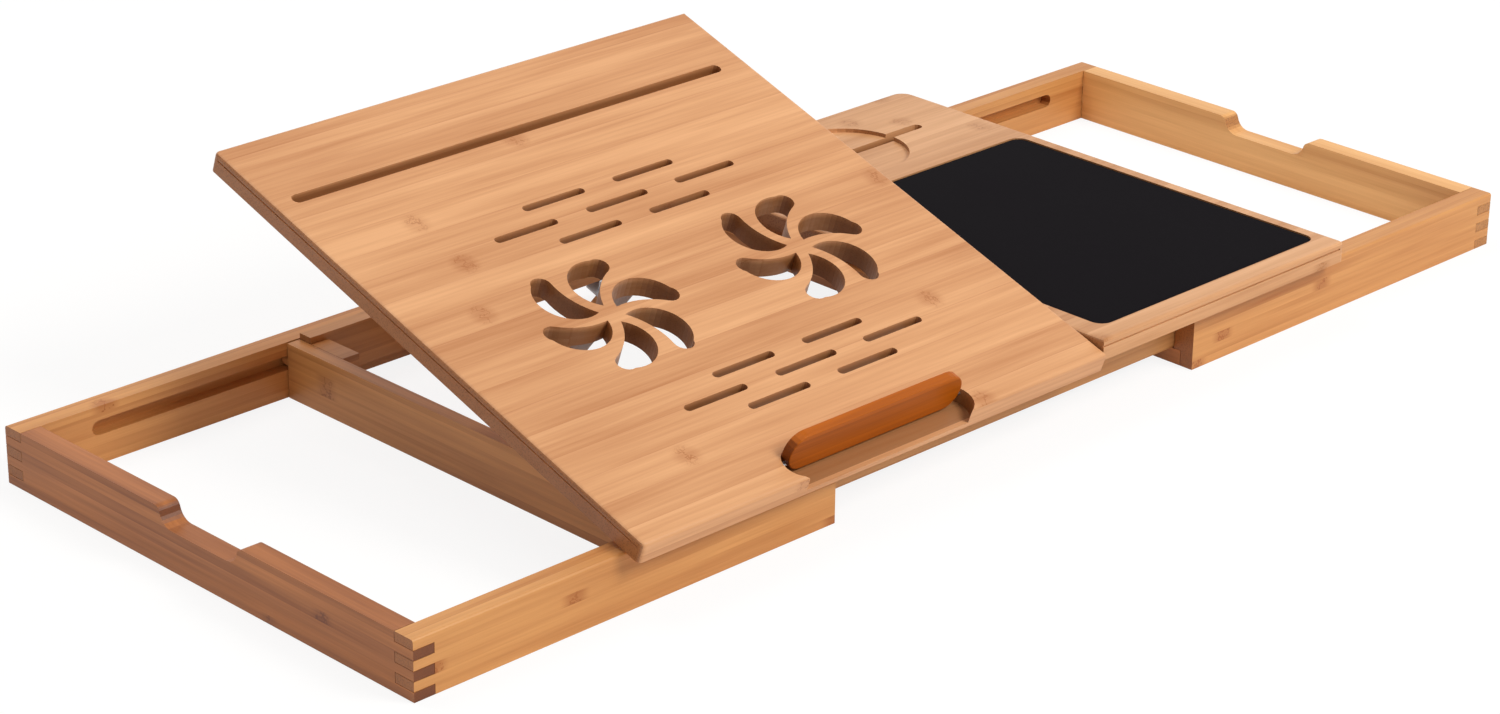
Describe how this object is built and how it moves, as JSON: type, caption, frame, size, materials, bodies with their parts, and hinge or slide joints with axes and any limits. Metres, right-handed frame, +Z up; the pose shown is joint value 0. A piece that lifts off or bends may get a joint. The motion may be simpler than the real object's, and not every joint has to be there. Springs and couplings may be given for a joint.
{
  "type": "expandable laptop stand",
  "caption": "Bamboo laptop tray that widens sideways, with a tilting vented board, fold-out stop bar, fixed panel with mouse pad, and two sliding end frames.",
  "frame": {"origin": "middle of the bounding box in plan, on the plane that the stand rests on, in the pose of the picture", "axes": "+X along the width, from the tilting board to the fixed panel; +Y from the front edge to the back; +Z up"},
  "size_m": [0.9036, 0.3754, 0.163],
  "materials": {
    "bamboo_side": "satin varnished bamboo, edge and rail stock",
    "bamboo_board": "satin varnished laminated bamboo board",
    "pad_black": "matt woven cover",
    "steel": "zinc plated"
  },
  "bodies": {
    "tray": {"back_inner_rail": "bamboo_side", "board_divider": "bamboo_side", "fixed_panel": "bamboo_board", "front_inner_rail": "bamboo_side", "left_back_corner_block": "bamboo_side", "left_back_guide_pin": "bamboo_side", "left_cross_member": "bamboo_side", "left_front_corner_block": "bamboo_side", "left_front_guide_pin": "bamboo_side", "left_hinge_pin": "steel", "left_hinge_tray_leaf": "steel", "left_hinge_tray_screw_1": "steel", "left_hinge_tray_screw_2": "steel", "mouse_pad": "pad_black", "rack_beam": "bamboo_side", "right_back_corner_block": "bamboo_side", "right_back_guide_pin": "bamboo_side", "right_cross_member": "bamboo_side", "right_front_corner_block": "bamboo_side", "right_front_guide_pin": "bamboo_side", "right_hinge_pin": "steel", "right_hinge_tray_leaf": "steel", "right_hinge_tray_screw_1": "steel", "right_hinge_tray_screw_2": "steel"},
    "left_frame": {"left_end_panel": "bamboo_side", "left_front_rail": "bamboo_side", "left_back_rail": "bamboo_side", "left_stretcher": "bamboo_side"},
    "right_frame": {"right_end_panel": "bamboo_side", "right_front_rail": "bamboo_side", "right_back_rail": "bamboo_side", "right_stretcher": "bamboo_side"},
    "tilt_board": {"tilting_board": "bamboo_board", "prop_bracket": "steel", "prop_pin": "steel", "left_stop_bar_pin": "steel", "right_stop_bar_pin": "steel", "bracket_screw_1": "steel", "bracket_screw_2": "steel", "left_hinge_board_leaf": "steel", "left_hinge_board_screw_1": "steel", "left_hinge_board_screw_2": "steel", "right_hinge_board_leaf": "steel", "right_hinge_board_screw_1": "steel", "right_hinge_board_screw_2": "steel"},
    "stop_bar_body": {"stop_bar": "bamboo_board"},
    "prop_body": {"tilt_prop": "bamboo_side"}
  },
  "joints": [
    {"name": "left_slide", "type": "slide", "parent": "tray", "child": "left_frame", "axis": [-1, 0, 0], "range_m": [-0.138, 0.0285]},
    {"name": "right_slide", "type": "slide", "parent": "tray", "child": "right_frame", "axis": [1, 0, 0], "range_m": [-0.1665, 0]},
    {"name": "board_tilt", "type": "hinge", "parent": "tray", "child": "tilt_board", "pos_m": [-0.127, -0.16381, 0.039], "axis": [1, 0, 0], "range_deg": [-18.66, 0]},
    {"name": "stop_bar_flip", "type": "hinge", "parent": "tilt_board", "child": "stop_bar_body", "pos_m": [-0.12285, -0.17062, 0.04652], "axis": [1, 0, 0], "range_deg": [0, 90]},
    {"name": "prop_fold", "type": "hinge", "parent": "tilt_board", "child": "prop_body", "pos_m": [-0.15475, -0.00272, 0.08707], "axis": [1, 0, 0], "range_deg": [0, 68.66]}
  ],
  "couplings": [
    {"joint": "prop_fold", "follows": "board_tilt", "ratio": -3.6795}
  ]
}
